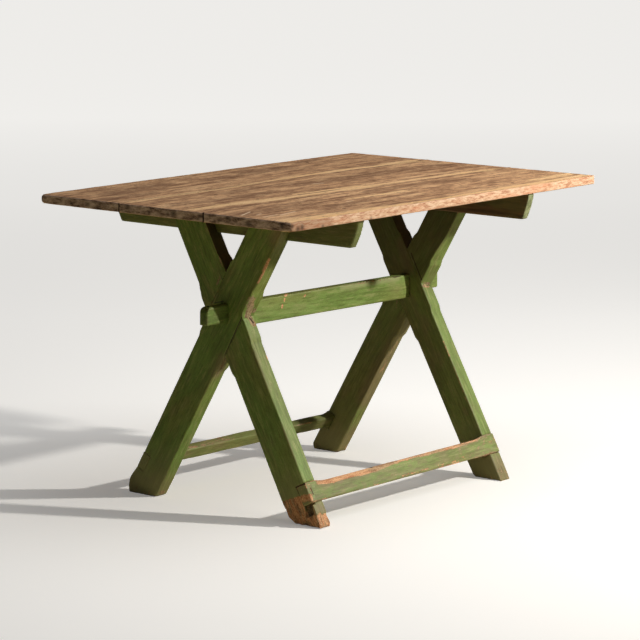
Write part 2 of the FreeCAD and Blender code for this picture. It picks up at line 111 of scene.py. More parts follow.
# Seeds, so that no two pieces are worn alike
seeds = {
    "top_board_rear": 3, "top_board_middle": 5, "top_board_front": 8,
    "left_rear_leg": 20, "left_front_leg": 30, "right_rear_leg": 40, "right_front_leg": 50,
    "centre_stretcher": 61, "front_rail": 71, "rear_rail": 81, "left_batten": 91, "right_batten": 92,
}

# Wear on the timbers: the sizes of its patches along and across the grain, how far from an arris it reaches,
# how far the faces stand out between the arrises, how deep it goes, and how much it smooths an arris
patch_size = (0.05, 0.02, 0.02)
long_patch_size = (0.16, 0.05, 0.05)
ragged_size = (0.02, 0.006, 0.006)
split_size = (0.016, 0.0055, 0.0055)
crumb_size = (0.012, 0.009, 0.009)
strip_size = (0.11, 1.0, 1.0)
arris_reach = 0.004
arris_depth = 0.0007
face_swelling = 0.0003
foot_depth = 0.0015
crumble_depth = 0.0036
split_depth = 0.0020
strip_depth = 0.0012
arris_softening = 0.35

# The same on the boards. Fibres shift the strokes along the grain, by up to half of fibre_shift, in mm.
rim_reach = 0.010
rim_patch_size = (0.05, 0.03, 0.02)
rim_fine_size = (0.012, 0.012, 0.008)
ridge_size = (0.30, 0.012, 0.02)
wander_size = (0.09, 0.05, 0.05)
fibre_size = (0.30, 0.004, 0.05)
fibre_shift = 90
rim_depth = 0.0012
rim_fine_depth = 0.0006
ridge_depth = 0.0004
seam_end_depth = 0.0022
seam_end_reach = 0.004

# Lean of each leg from upright, in degrees, towards the rear at its top, and the tilt of the rails' faces
leg_lean = {
    "left_rear_leg": -30.67, "left_front_leg": 27.80, "right_rear_leg": -30.53, "right_front_leg": 29.13,
}
front_rail_tilt = 28.47
rear_rail_tilt = 30.60
# Slope of the bars along the table, as rise over length
stretcher_slope = -0.0129
front_rail_slope = 0.0084

# Where wear has taken most off the base: the near arris above each crossing, and the ends of the tenons and
# of the bar. Each crossing has a depth, and the heights above it where the wear ends and where it is full. It
# starts at the crossing, and the arris that it is measured from is read a little above.
crossing_wear = {"left_rear_leg": (0.0080, 0.115, 0.020), "right_rear_leg": (0.0095, 0.150, 0.055)}
crossing_wear_width = 0.032
crossing_wear_start = (-0.012, 0.006)
crossing_arris_read = (0.02, 0.06)
tenon_round = 0.018
tenon_far_round = 0.007
tenon_end_length = 0.03
tenon_flat_left = 0.005
bar_end_round = 0.007
bar_end_length = 0.02
shoulder_margin = 0.0003

# Where two legs stay fuller, the left crossing's near arris and the left rear foot: how deep, the heights
# where that starts, is full, is still full and ends, and the heights where the arris is read
fullness = {
    "left_front_leg": (0.0050, (0.470, 0.488, 0.505, 0.530), (0.48, 0.53)),
    "left_rear_leg": (0.0060, (-0.002, 0.014, 0.034, 0.078), (0.08, 0.10)),
}

# Marks of use on the base, in millimetres: what they are, x, y, z of both ends, how wide and how strong.
# old is bare weathered wood, new is bare orange wood, dark is a crack, a dark joint or painted shade in a
# hollow or at a root, dirt is soiled paint and pale is rubbed paint.
marks = {
    "left_rear_leg": [
        ("new", -356, -99, 560, -356, -119, 592, 4.2, 0.8),
        ("new", -357, -116, 588, -357, -134, 618, 5, 0.85),
        ("old", -352, -78, 515, -340, -56, 478, 15, 0.85),
        ("old", -326, -60, 487, -345, -60, 484, 11, 0.7),
        ("dark", -350, -63, 487, -346, -55, 476, 3, 1),
        ("dark", -343, -68, 497, -340, -66, 490, 2.2, 0.8),
        ("dark", -338, -70, 503, -346, -64, 490, 1.8, 0.9),
        ("dark", -358, 36, 499, -358, 8, 505.5, 1.6, 1),
        ("dirt", -352, 12, 362, -345, 36, 328, 20, 1.1),
        ("old", -352, 14, 360, -347, 26, 342, 9, 0.6),
        ("dark", -358, 9, 370, -358, -50, 474, 1.5, 1.1),
        ("dark", -358, 12, 586, -358, 36, 544, 1.8, 1),
        ("dirt", -358, -147, 667, -358, -185, 700, 22, 0.8),
        ("old", -345, 228, 10, -335, 228, 8, 12, 0.7),
    ],
    "left_front_leg": [
        ("old", -335, -52, 472, -330, -60, 458, 13, 0.75),
        ("dark", -336, -53.5, 469, -329, -59, 458, 2.6, 1.2),
        ("old", -358, 18, 563, -358, 28, 545, 5.5, 0.66),
        ("old", -358, 70, 700, -358, 10, 588, 3.6, 0.62),
        ("dark", -358, 9, 370, -358, -50, 474, 1.4, 1.1),
        ("new", -321, -95, 381, -321, -98, 377, 4, 1),
        ("dark", -358, -216, 89, -358, -259, 109, 1.9, 1.2),
        ("new", -358, -222, 62, -358, -246, 66, 8, 0.9),
        ("old", -358, -95, 400, -358, -168, 262, 1.8, 0.5),
        ("dark", -334, -281, 32, -332, -296, 4, 1.5, 1),
        ("dark", -343, -286, 22, -344, -297, 2, 1.5, 0.9),
        ("dark", -324, -286, 24, -323, -297, 2, 1.4, 0.9),
    ],
    "right_rear_leg": [
        ("old", 326, -51, 474, 352, -48, 468, 6, 0.95),
        ("dark", 333, -52, 473, 349, -49.5, 469.5, 1.7, 1.1),
        ("old", 325, 34, 420, 325, 36, 400, 4, 0.6),
        ("dark", 325, -50, 474, 325, -12, 546, 1.9, 1.1),
        ("old", 343, 40, 340, 345, 100, 228, 16, 0.5),
        ("dirt", 343, 14, 372, 340, 150, 150, 30, 1.25),
    ],
    "right_front_leg": [
        ("old", 330, -48, 466, 352, -46, 462, 5, 0.9),
        ("dirt", 325, 22, 566, 325, -2, 508, 24, 1),
        ("dark", 325, -50, 474, 325, -12, 546, 1.9, 1.1),
        ("new", 325, -116, 334, 325, -136, 298, 2.6, 0.8),
        ("new", 325, -150, 270, 325, -192, 188, 2.2, 0.6),
        ("old", 340, -281, 40, 338, -293, 12, 17, 0.46),
        ("new", 326, -292, 20, 328, -296, 4, 4, 0.45),
        ("dark", 334, -283, 38, 335, -294, 8, 1.8, 0.8),
        ("dark", 347, -284, 34, 349, -295, 6, 1.8, 0.7),
        ("dirt", 346, -280, 46, 346, -295, 6, 26, 1.1),
    ],
    "centre_stretcher": [
        # Painted shadow with some dirt: a wide dark mark where the tenon leaves the left legs.
        ("dark", -362, -6, 462, -362, -6, 505, 10, 0.46),
        ("new", -153, -5, 495, -142, -2, 497, 4, 0.9),
        ("new", -155, -6.2, 488, -156, -6.2, 484, 3.2, 0.95),
        ("new", -164, -6.2, 473, -165, -6.2, 468, 4.2, 0.95),
        ("new", -79, -6.2, 488, -82, -6.2, 486, 3.4, 0.95),
        ("pale", 60, -6, 490, 280, -6, 488, 7, 1.6),
        ("old", 104, -5, 492, 250, -5, 490.2, 3.6, 0.5),
        # Painted shade: the dark mark in the nick on the bar's top.
        ("dark", 264, -4, 491, 292, -3, 491, 3.4, 1),
    ],
    "front_rail": [
        ("dark", -119, -242, 102, -112, -244, 101, 3, 1),
        ("dark", -358, -216, 89, -358, -259, 109, 1.9, 1.2),
        ("new", -358, -236, 64, -358, -260, 72, 11, 0.95),
        ("dark", -345, -250, 91, -344.5, -257, 76, 1.7, 1.1),
        ("old", -346, -249, 92, -346, -258, 74, 5.5, 0.6),
        ("old", -70, -259, 73, -40, -259, 73, 8, 0.5),
        ("new", -20, -262, 66, 80, -262, 67, 4, 0.6),
        ("new", 120, -262, 68, 240, -262, 68, 4, 0.55),
    ],
}

# Light streaks, dark weathering and scratches on the top, in millimetres: where they start and end, and width
light_strokes = [
    (-548, 124, -393, 134, 13), (-393, 134, -210, 130, 11), (-210, 130, 9, 148, 11),
    (9, 148, 228, 160, 12), (228, 160, 450, 142, 15), (450, 142, 545, 152, 22),
    (-566, -80, -440, -78, 19), (-440, -78, -280, -98, 24), (-280, -100, 40, -106, 15),
    (-200, -70, 42, -92, 9), (40, -106, 328, -109, 11), (328, -109, 510, -127, 16),
    (-179, -226, 40, -227, 9), (-566, -372, -400, -374, 27), (-400, -376, -250, -378, 16),
    (-250, -382, 120, -382, 9), (120, -380, 560, -374, 14), (400, -335, 560, -330, 20),
]
dark_strokes = [
    (-480, 262, -258, 295, 34), (-125, 280, -20, 290, 24), (60, 300, 205, 312, 28),
    (290, 342, 380, 350, 18), (-560, 205, -400, 196, 20), (-505, 12, -355, -14, 22),
    (-355, -14, -190, -2, 22), (-75, 52, 40, 30, 25), (40, 35, 385, 47, 38),
    (385, 47, 505, 25, 28), (-300, 62, -100, 82, 17), (-563, -211, -340, -209, 20),
    (-340, -209, -275, -224, 14), (-310, -292, -158, -273, 16), (-158, -272, 0, -268, 10),
    (-580, -398, -440, -398, 13), (-55, -172, 192, -167, 20), (192, -170, 301, -203, 25),
    (-450, -172, -250, -180, 14),
]
scratches = [
    (-557, -227, -500, -202, 3.4), (-547, -284, -494, -279, 3.4), (-496, -290, -428, -275, 3.4),
    (-218, -253, -198, -254, 4), (-8, 27, 19, 18, 4), (-532, -250, -508, -243, 3),
]

# Knots and stains on the left end of the top, in millimetres: where across, how high, how wide
end_knots = [
    (106, 743, 9), (92, 741, 7), (-38, 742, 10), (-20, 738, 6), (-113, 738, 7), (-267, 735, 8),
    (-366, 740, 8), (236, 738, 8), (280, 742, 6), (-205, 744, 9),
]

# Dark chips in the front edge of the top, in millimetres: where along, how high, how wide
front_chips = [
    (-573, 741, 5), (-555, 733, 7), (-541, 735, 7.5), (-470, 731, 4), (-300, 730, 4),
]


# Noise that repeats exactly

def lattice(cell, seed):
    """Repeatable values from 0 to 1 at whole-numbered points."""
    x, y, z = (cell[:, i].astype(np.int64) for i in range(3))
    h = (x * 73856093) ^ (y * 19349663) ^ (z * 83492791) ^ (seed * 2654435)
    h = h & 0xFFFFFFFF
    h = ((h ^ (h >> 15)) * 2246822519) & 0xFFFFFFFF
    h = ((h ^ (h >> 13)) * 3266489917) & 0xFFFFFFFF
    return ((h ^ (h >> 16)) & 0xFFFFFF) / 0xFFFFFF


def noise(points, size, seed, octaves=1):
    """Smooth noise from 0 to 1. size is how large its features are along each axis."""
    total = np.zeros(len(points))
    weight = 1.0
    weights = 0.0
    for octave in range(octaves):
        q = points / (np.asarray(size, float) / 2 ** octave)
        base = np.floor(q)
        f = q - base
        f = f * f * (3 - 2 * f)
        value = np.zeros(len(points))
        for corner in itertools.product((0, 1), repeat=3):
            corner = np.array(corner)
            share = np.prod(np.where(corner, f, 1 - f), axis=1)
            value += share * lattice(base + corner, seed + 101 * octave)
        total += weight * value
        weights += weight
        weight *= 0.5
    return total / weights


def ease(value, low, high):
    """0 below low, 1 above high and smooth between them. It turns round where low is the greater."""
    t = np.clip((value - low) / (high - low), 0, 1)
    return t * t * (3 - 2 * t)


# Materials

def colour(red, green, blue):
    """Colour from 8-bit sRGB values, as linear light."""
    def linear(v):
        v = v / 255
        return v / 12.92 if v <= 0.04045 else ((v + 0.055) / 1.055) ** 2.4
    return (linear(red), linear(green), linear(blue), 1.0)


def grey(level):
    """The same level in red, green and blue."""
    return (level, level, level, 1.0)


class Finish:
    """One material and short ways to add nodes to it."""

    def __init__(self, name, roughness):
        self.material = bpy.data.materials.new(name)
        self.material.use_nodes = True
        tree = self.material.node_tree
        self.nodes = tree.nodes
        self.links = tree.links
        self.shader = next(n for n in tree.nodes if n.type == "BSDF_PRINCIPLED")
        self.shader.inputs["Roughness"].default_value = roughness

    def put(self, socket, value):
        if isinstance(value, bpy.types.NodeSocket):
            self.links.new(value, socket)
        else:
            socket.default_value = value

    def math(self, operation, a, b=0.0, clamp=False):
        node = self.nodes.new("ShaderNodeMath")
        node.operation = operation
        node.use_clamp = clamp
        self.put(node.inputs[0], a)
        self.put(node.inputs[1], b)
        return node.outputs[0]

    def ruffled(self, value, noise, amount):
        """A value with noise added around it."""
        return self.math("ADD", value, self.math("MULTIPLY", self.math("SUBTRACT", noise, 0.5), amount))

    def vector(self, operation, *inputs):
        node = self.nodes.new("ShaderNodeVectorMath")
        node.operation = operation
        for socket, value in zip(node.inputs, inputs):
            self.put(socket, value)
        return node.outputs

    def noise(self, vector, scale, detail=3.0, roughness=0.5, distortion=0.0, shift=(0.0, 0.0, 0.0)):
        """Noise from 0 to 1. scale is one number, or one for each axis."""
        if isinstance(scale, tuple):
            vector = self.vector("MULTIPLY_ADD", vector, scale, shift)["Vector"]
            scale = 1.0
        node = self.nodes.new("ShaderNodeTexNoise")
        self.put(node.inputs["Vector"], vector)
        for name, value in (
                ("Scale", scale), ("Detail", detail), ("Roughness", roughness), ("Distortion", distortion)):
            node.inputs[name].default_value = value
        return node.outputs["Fac"]

    def mix(self, factor, a, b):
        node = self.nodes.new("ShaderNodeMix")
        node.data_type = "RGBA"
        self.put(node.inputs[0], factor)
        self.put(node.inputs[6], a)
        self.put(node.inputs[7], b)
        return node.outputs[2]

    def cover(self, under, over, share, strength, clamp=False):
        """Lays one colour over another, by a share times a strength."""
        return self.mix(self.math("MULTIPLY", share, strength, clamp), under, over)

    def step(self, value, low, high):
        node = self.nodes.new("ShaderNodeMapRange")
        node.interpolation_type = "SMOOTHSTEP"
        self.put(node.inputs["Value"], value)
        node.inputs["From Min"].default_value = low
        node.inputs["From Max"].default_value = high
        return node.outputs["Result"]

    def ramp(self, value, stops):
        node = self.nodes.new("ShaderNodeValToRGB")
        elements = node.color_ramp.elements
        while len(elements) < len(stops):
            elements.new(0.5)
        for element, (place, shade) in zip(elements, stops):
            element.position = place
            element.color = shade
        self.put(node.inputs[0], value)
        return node.outputs["Color"]

    def attribute(self, name, output="Fac"):
        node = self.nodes.new("ShaderNodeAttribute")
        node.attribute_name = name
        return node.outputs[output]

    def place(self):
        node = self.nodes.new("ShaderNodeTexCoord")
        return node.outputs["Object"]

    def bump(self, height, distance, strength, before=None):
        node = self.nodes.new("ShaderNodeBump")
        node.inputs["Strength"].default_value = strength
        node.inputs["Distance"].default_value = distance
        self.put(node.inputs["Height"], height)
        if before is not None:
            self.put(node.inputs["Normal"], before)
        return node.outputs["Normal"]

    def joined(self, base, normal=None, roughness=None):
        """The material, once its colour, relief and roughness are joined to the shader."""
        for name, value in (("Base Color", base), ("Normal", normal), ("Roughness", roughness)):
            if value is not None:
                self.put(self.shader.inputs[name], value)
        return self.material


def scrubbed_wood():
    """Old softwood boards: long grain, dark weathering, pale worn streaks and long edges, dark end grain."""
    f = Finish("scrubbed_wood", 0.78)
    f.shader.inputs["Specular IOR Level"].default_value = 0.25
    grain = f.attribute("grain", "Vector")
    weather = f.attribute("weather")
    patches = f.noise(grain, (2.6, 15.0, 15.0), 4, 0.6, 0.5)
    bands = f.noise(grain, (5.5, 44.0, 44.0), 4, 0.62, 0.4)
    streaks = f.noise(grain, (8.0, 120.0, 120.0), 4, 0.6, 0.3)
    fibres = f.noise(grain, (22.0, 640.0, 640.0), 3, 0.6)
    tone = f.math("ADD", f.math("MULTIPLY", patches, 0.3),
                  f.math("ADD", f.math("MULTIPLY", bands, 0.4), f.math("MULTIPLY", streaks, 0.3)))
    wood = f.ramp(tone, [
        (0.41, colour(134, 98, 70)), (0.47, colour(176, 134, 98)), (0.53, colour(208, 162, 120)),
        (0.60, colour(232, 190, 144))])
    dark = f.step(f.ruffled(weather, bands, 3.2), 0.25, 0.8)
    wood = f.cover(wood, f.mix(streaks, colour(108, 78, 56), colour(160, 120, 88)), dark, 0.74)
    mottle = f.noise(grain, (24.0, 60.0, 60.0), 5, 0.75, shift=(1.3, 2.2, 0.0))
    wood = f.cover(wood, colour(112, 76, 52), f.step(mottle, 0.51, 0.60), 0.55)
    wood = f.cover(wood, colour(230, 188, 142), f.step(mottle, 0.47, 0.38), 0.45)
    pale = f.step(f.ruffled(f.attribute("light"), streaks, 1.3), 0.3, 0.8)
    wood = f.cover(wood, f.mix(bands, colour(224, 174, 116), colour(250, 214, 166)), pale, 0.92)
    wood = f.cover(wood, colour(120, 92, 70), f.step(fibres, 0.52, 0.72), 0.4)
    flecks = f.noise(grain, (60.0, 110.0, 110.0), 3, 0.6, shift=(0.6, 1.2, 0.4))
    wood = f.cover(wood, colour(104, 70, 48), f.step(flecks, 0.56, 0.66), 0.45)
    wood = f.cover(wood, colour(238, 210, 176), f.step(f.attribute("scratch"), 0.35, 0.8), 0.75)
    rough_edge = f.noise(grain, (56.0, 70.0, 260.0), 5, 0.7)
    edge = f.ramp(rough_edge, [
        (0.36, colour(156, 108, 82)), (0.44, colour(182, 136, 106)), (0.51, colour(196, 160, 130)),
        (0.62, colour(210, 181, 153))])
    edge_bands = f.noise(grain, (7.0, 40.0, 60.0))
    edge = f.cover(edge, colour(196, 132, 96), f.step(edge_bands, 0.48, 0.66), 0.45)
    edge = f.cover(edge, colour(134, 90, 60), weather, 0.55)
    wood = f.mix(f.attribute("front"), wood, edge)
    cut = f.noise(grain, (60.0, 34.0, 110.0), 5, 0.7)
    cut_wood = f.ramp(cut, [
        (0.36, colour(98, 77, 64)), (0.46, colour(168, 136, 116)), (0.6, colour(220, 188, 166))])
    wood = f.mix(f.attribute("end"), wood, cut_wood)
    wood = f.cover(wood, colour(40, 28, 20), f.attribute("gap"), 0.9, clamp=True)
    relief = f.math("ADD", f.math("MULTIPLY", fibres, 0.5), f.math("MULTIPLY", streaks, 0.8))
    coarse = f.bump(f.math("ADD", rough_edge, cut), 0.0014, 0.4)
    roughness = f.ramp(streaks, [(0.3, grey(0.86)), (0.7, grey(0.7))])
    return f.joined(wood, f.bump(relief, 0.0009, 0.5, coarse), roughness)


def green_paint():
    """Old green paint over wood, worn, dirty, rubbed or cracked where the attributes say so, with painted
    shade and painted bounce light where they say so.
    """
    f = Finish("green_paint", 0.62)
    f.shader.inputs["Specular IOR Level"].default_value = 0.3
    grain = f.attribute("grain", "Vector")
    cloud = f.noise(grain, (6.0, 18.0, 18.0), 4, 0.6)
    brush = f.noise(grain, (9.0, 210.0, 210.0), 4, 0.6)
    speck = f.noise(grain, 340.0, 4, 0.7)
    paint = f.ramp(f.math("ADD", f.math("MULTIPLY", cloud, 0.7), f.math("MULTIPLY", brush, 0.3)), [
        (0.38, colour(96, 118, 52)), (0.5, colour(111, 139, 63)), (0.62, colour(127, 153, 78))])
    yellowed = f.noise(grain, (3.0, 9.0, 9.0), shift=(0.4, 1.1, 0.2))
    paint = f.cover(paint, colour(130, 124, 64), f.step(yellowed, 0.48, 0.62), 0.42)
    scrape = f.noise(grain, (20.0, 170.0, 170.0), 5, 0.74, shift=(0.2, 0.9, 1.7))
    paint = f.cover(paint, colour(164, 164, 108), f.step(scrape, 0.53, 0.61), 0.46)
    paint = f.cover(paint, colour(80, 84, 36), f.step(scrape, 0.47, 0.39), 0.48)
    paint = f.cover(paint, colour(92, 80, 40), f.step(speck, 0.53, 0.63), 0.5)
    soil = f.mix(scrape, colour(96, 80, 54), colour(158, 140, 106))
    # The near-black cover below is soot in places and painted shade on faces that lie in shadow; the pale
    # cover is rubbed paint and, low on the shaded faces, painted bounce light.
    for over, name, strength in (
            (soil, "dirt", 0.8), (colour(164, 162, 120), "pale", 0.5), (colour(34, 32, 12), "soot_and_painted_shade", 0.75)):
        paint = f.cover(paint, over, f.attribute(name), strength, clamp=True)
    tone = f.math("ADD", f.math("MULTIPLY", speck, 0.5), f.math("MULTIPLY", scrape, 0.5))
    old = f.ramp(tone, [(0.42, colour(106, 86, 62)), (0.57, colour(168, 148, 116))])
    new = f.ramp(tone, [(0.42, colour(170, 106, 70)), (0.57, colour(230, 178, 134))])
    torn = f.noise(grain, (70.0, 190.0, 190.0), 5, 0.68)
    lost = f.step(f.ruffled(f.attribute("wear"), torn, 1.4), 0.47, 0.56)
    surface = f.mix(lost, paint, f.mix(f.attribute("fresh"), old, new))
    black = f.step(f.ruffled(f.attribute("dark"), torn, 0.5), 0.35, 0.75)
    surface = f.cover(surface, colour(50, 32, 22), black, 0.88)
    film = f.bump(f.math("SUBTRACT", 1.0, lost), 0.0006, 0.5)
    return f.joined(surface, f.bump(f.math("ADD", brush, speck), 0.0006, 0.35, film),
                    f.ramp(lost, [(0.0, grey(0.55)), (1.0, grey(0.88))]))


def dark_wood():
    """Unpainted old wood that has gone dark, with traces of green, and pale green where it is rubbed."""
    f = Finish("dark_wood", 0.8)
    grain = f.attribute("grain", "Vector")
    streaks = f.noise(grain, (6.0, 90.0, 90.0), 4, 0.6)
    cloud = f.noise(grain, (5.0, 12.0, 12.0))
    wood = f.ramp(streaks, [(0.35, colour(76, 54, 38)), (0.65, colour(126, 94, 66))])
    wood = f.cover(wood, colour(96, 104, 58), f.step(cloud, 0.46, 0.62), 0.5)
    sage = f.ramp(streaks, [(0.35, colour(98, 104, 66)), (0.65, colour(148, 152, 112))])
    return f.joined(f.mix(f.attribute("pale"), wood, sage), f.bump(streaks, 0.0008, 0.5))


def small_part(name, roughness, scale, detail, grain_roughness, stops, relief, metallic=0.0):
    """Finish of a peg or a nail: two colours that a noise goes between, and its relief."""
    f = Finish(name, roughness)
    f.shader.inputs["Metallic"].default_value = metallic
    spots = f.noise(f.place(), scale, detail, grain_roughness)
    return f.joined(f.ramp(spots, stops), f.bump(spots, *relief))


def pale_floor():
    """Plain floor: pale where the camera sees it, quieter in the light that it throws back."""
    f = Finish("pale_floor", 0.9)
    f.shader.inputs["Specular IOR Level"].default_value = 0.1
    place = f.place()
    reach = f.vector("DISTANCE", place, (*floor_near_lamp, 0.0))["Value"]
    even = f.step(reach, floor_even_from, floor_even_to)
    seen = f.nodes.new("ShaderNodeLightPath").outputs["Is Camera Ray"]
    thrown = f.mix(even, floor_thrown_near_lamp, floor_thrown_away)
    shown = f.mix(even, floor_seen_near_lamp, floor_seen_away)
    turn = math.radians(90 - camera_azimuth)
    away = (math.cos(turn) / floor_glow_reach, math.sin(turn) / floor_glow_reach, 0.0)
    behind = f.vector("DOT_PRODUCT", place, away)["Value"]
    glow = f.ramp(behind, [(where, grey(level)) for where, level in floor_glow])
    f.shader.inputs["Emission Color"].default_value = floor_glow_tint
    f.put(f.shader.inputs["Emission Strength"], f.math("MULTIPLY", seen, glow))
    return f.joined(f.mix(seen, thrown, shown))


# Meshes

def add_object(name, data):
    """Puts a mesh, lamp or camera into the scene."""
    added = bpy.data.objects.new(name, data)
    bpy.context.scene.collection.objects.link(added)
    return added


def stand_in(mesh, finish, node):
    """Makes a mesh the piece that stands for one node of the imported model."""
    mesh.materials.append(finish)
    piece = add_object("worn_" + node, mesh)
    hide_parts(node)
    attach(piece, "root")


def piece_from(points, faces, finish, node):
    """Mesh of a new piece, from its points and faces."""
    mesh = bpy.data.meshes.new("worn_" + node)
    mesh.from_pydata([tuple(p) for p in points], [], [tuple(f) for f in faces])
    mesh.update()
    mesh.shade_smooth()
    stand_in(mesh, finish, node)
    return mesh


def read(items, key, columns=3, kind=float):
    """One property of all vertices, normals or edges, with a row for each."""
    found = np.zeros(len(items) * columns, kind)
    items.foreach_get(key, found)
    return found.reshape(-1, columns)


def set_coordinates(mesh, points):
    mesh.vertices.foreach_set("co", points.reshape(-1))
    mesh.update()


def set_attribute(mesh, name, values):
    """Per-vertex number, or vector where values has three columns."""
    kind, key = ("FLOAT_VECTOR", "vector") if values.ndim == 2 else ("FLOAT", "value")
    layer = mesh.attributes.new(name, kind, "POINT")
    layer.data.foreach_set(key, values.astype(np.float32).reshape(-1))


def welded(node, turn):
    """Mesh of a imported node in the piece's own axes, with its shared corners joined."""
    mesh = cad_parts[node].data.copy()
    mesh.transform(turn.to_4x4())
    work = bmesh.new()
    work.from_mesh(mesh)
    bmesh.ops.remove_doubles(work, verts=work.verts, dist=1e-6)
    return mesh, work


def arris_points(work):
    """Points along the sharp edges of a mesh, leaving out the rims of small holes."""
    found = []
    for edge in work.edges:
        if len(edge.link_faces) != 2 or edge.calc_length() < least_arris:
            continue
        if edge.calc_face_angle(0) > sharp_angle:
            a, b = (v.co for v in edge.verts)
            count = max(1, int((b - a).length / arris_spacing))
            found += [a.lerp(b, i / count) for i in range(count + 1)]
    return found


def nearest(points, targets):
    """Distance from each point to the nearest target."""
    tree = KDTree(len(targets))
    for i, target in enumerate(targets):
        tree.insert(target, i)
    tree.balance()
    return np.array([tree.find(p)[2] for p in points])


def largest_island(mesh):
    """Deletes what isn't joined to the largest part of a mesh."""
    count = len(mesh.vertices)
    ends = read(mesh.edges, "vertices", 2, np.int64)
    label = np.arange(count)
    while True:
        low = np.minimum(label[ends[:, 0]], label[ends[:, 1]])
        before = label.copy()
        np.minimum.at(label, ends[:, 0], low)
        np.minimum.at(label, ends[:, 1], low)
        label = label[label]
        if np.array_equal(before, label):
            break
    values, sizes = np.unique(label, return_counts=True)
    if len(values) == 1:
        return
    keep = values[np.argmax(sizes)]
    work = bmesh.new()
    work.from_mesh(mesh)
    work.verts.ensure_lookup_table()
    bmesh.ops.delete(work, geom=[work.verts[i] for i in np.nonzero(label != keep)[0]], context="VERTS")
    work.to_mesh(mesh)
    work.free()


def smooth(mesh, share):
    """Pulls each vertex towards the middle of its neighbours, by its own share."""
    ends = read(mesh.edges, "vertices", 2, np.int64)
    points = read(mesh.vertices, "co")
    links = np.bincount(ends.reshape(-1), minlength=len(points)).astype(float)[:, None]
    total = np.zeros_like(points)
    np.add.at(total, ends[:, 0], points[ends[:, 1]])
    np.add.at(total, ends[:, 1], points[ends[:, 0]])
    set_coordinates(mesh, points + (total / links - points) * share[:, None])


def stroke(points, start, end, width):
    """1 on the line from start to end, falling to 0 at about width from it."""
    start = np.array(start, float)
    along = np.array(end, float) - start
    share = np.clip((points - start) @ along / (along @ along), 0, 1)
    away = points - start - share[:, None] * along
    return np.exp(-np.sum(away ** 2, axis=1) / width ** 2)


def worn_timber(node, along, thick, voxel, finish):
    """Evenly meshed copy of a timber, with worn arrises and its wear kept as attributes.

    along and thick are its own axes in the frame.
    """
    along = Vector(along).normalized()
    thick = Vector(thick).normalized()
    across = thick.cross(along)
    turn = Matrix((along, across, thick))
    mesh, work = welded(node, turn)
    arrises = arris_points(work)
    work.to_mesh(mesh)
    work.free()
    holder = add_object("holder", mesh)
    remesh = holder.modifiers.new("even", "REMESH")
    remesh.mode = "VOXEL"
    remesh.voxel_size = voxel
    even = bpy.data.meshes.new_from_object(holder.evaluated_get(bpy.context.evaluated_depsgraph_get()))
    bpy.data.objects.remove(holder)
    largest_island(even)
    local = read(even.vertices, "co")
    distance = nearest(local, arrises)
    smooth(even, np.where(distance < 2 * voxel, arris_softening, 0.0))
    local = read(even.vertices, "co")
    back = np.array(turn.inverted())
    points = local @ back.T
    facing = read(even.vertex_normals, "vector") @ back.T
    worn_shape(node, points, local, np.array(across))
    worn_in, look = timber_wear(node, points, facing, local, distance, np.array(across))
    points = points - facing * worn_in[:, None]
    points[:, 2] = np.maximum(points[:, 2], 0)
    set_coordinates(even, points)
    even.shade_smooth()
    even.name = "worn_" + node
    even.materials.clear()
    set_attribute(even, "grain", local)
    for name, values in look.items():
        set_attribute(even, name, np.clip(values, 0, 1))
    stand_in(even, finish, node)


def rounded_off(points, corner, radius, end, lowest):
    """Rounds the upper corner at one end of a bar, above lowest.

    corner is its x and z, and end is the way that it faces.
    """
    arm_x = (points[:, 0] - corner[0]) * end + radius
    arm_z = points[:, 2] - corner[1] + radius
    reach = np.hypot(arm_x, arm_z)
    over = (arm_x > 0) & (arm_z > 0) & (reach > radius) & (arm_x < radius * 1.05) & (points[:, 2] > lowest)
    share = np.where(over, radius / np.maximum(reach, 1e-9), 1.0)
    points[:, 0] = np.where(over, corner[0] + end * (arm_x * share - radius), points[:, 0])
    points[:, 2] = np.where(over, corner[1] - radius + arm_z * share, points[:, 2])


def worn_shape(node, points, local, across):
    """Moves in what wear has taken from a timber beyond its arrises, and out where it stays fuller."""
    if node in crossing_wear:
        depth, fade_from, full_at = crossing_wear[node]
        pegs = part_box(node.split("_")[0] + "_crossing_pegs")
        rise = points[:, 2] - (pegs[0].z + pegs[1].z) / 2
        read_from, read_to = crossing_arris_read
        edge = local[(rise > read_from) & (rise < read_to), 1].max()
        low, high = points[:, 0].min(), points[:, 0].max()
        amount = depth * (high - points[:, 0]) / (high - low)
        amount = amount * ease(rise, fade_from, full_at) * ease(rise, *crossing_wear_start)
        points -= across * (amount * ease(edge - local[:, 1], crossing_wear_width, 0))[:, None]
    if node in fullness:
        depth, (start, full_from, full_to, end), (read_from, read_to) = fullness[node]
        rise = points[:, 2]
        edge = local[(rise > read_from) & (rise < read_to), 1].min()
        amount = depth * ease(rise, start, full_from) * ease(rise, end, full_to)
        points -= across * (amount * ease(local[:, 1] - edge, crossing_wear_width, 0))[:, None]
    if node == "centre_stretcher":
        end_x = points[:, 0].min()
        height = points[points[:, 0] < end_x + tenon_end_length, 2]
        rounded_off(points, (end_x, height.max()), tenon_round, -1, height.min() + tenon_flat_left)
        far_x = points[:, 0].max()
        height = points[points[:, 0] > far_x - tenon_end_length, 2]
        low, high = height.min(), height.max()
        rounded_off(points, (far_x, high), tenon_far_round, 1, low + tenon_flat_left)
        upside_down = points * (1, 1, -1)
        rounded_off(upside_down, (far_x, -low), tenon_far_round, 1, tenon_flat_left - high)
        points[:] = upside_down * (1, 1, -1)
        shoulder_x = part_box("right_front_leg")[0].x
        near_end = (points[:, 0] < shoulder_x) & (points[:, 0] > shoulder_x - bar_end_length)
        top = points[near_end, 2].max()
        inside = points[:, 0] < shoulder_x + shoulder_margin
        bar = points[inside]
        rounded_off(bar, (shoulder_x, top), bar_end_round, 1, top - bar_end_length)
        points[inside] = bar


def bare(look, value, fresh):
    """Adds bare wood of one freshness."""
    look["wear"] = np.maximum(look["wear"], value)
    share = np.clip(value, 0, 1)
    look["fresh"] = look["fresh"] * (1 - share) + fresh * share


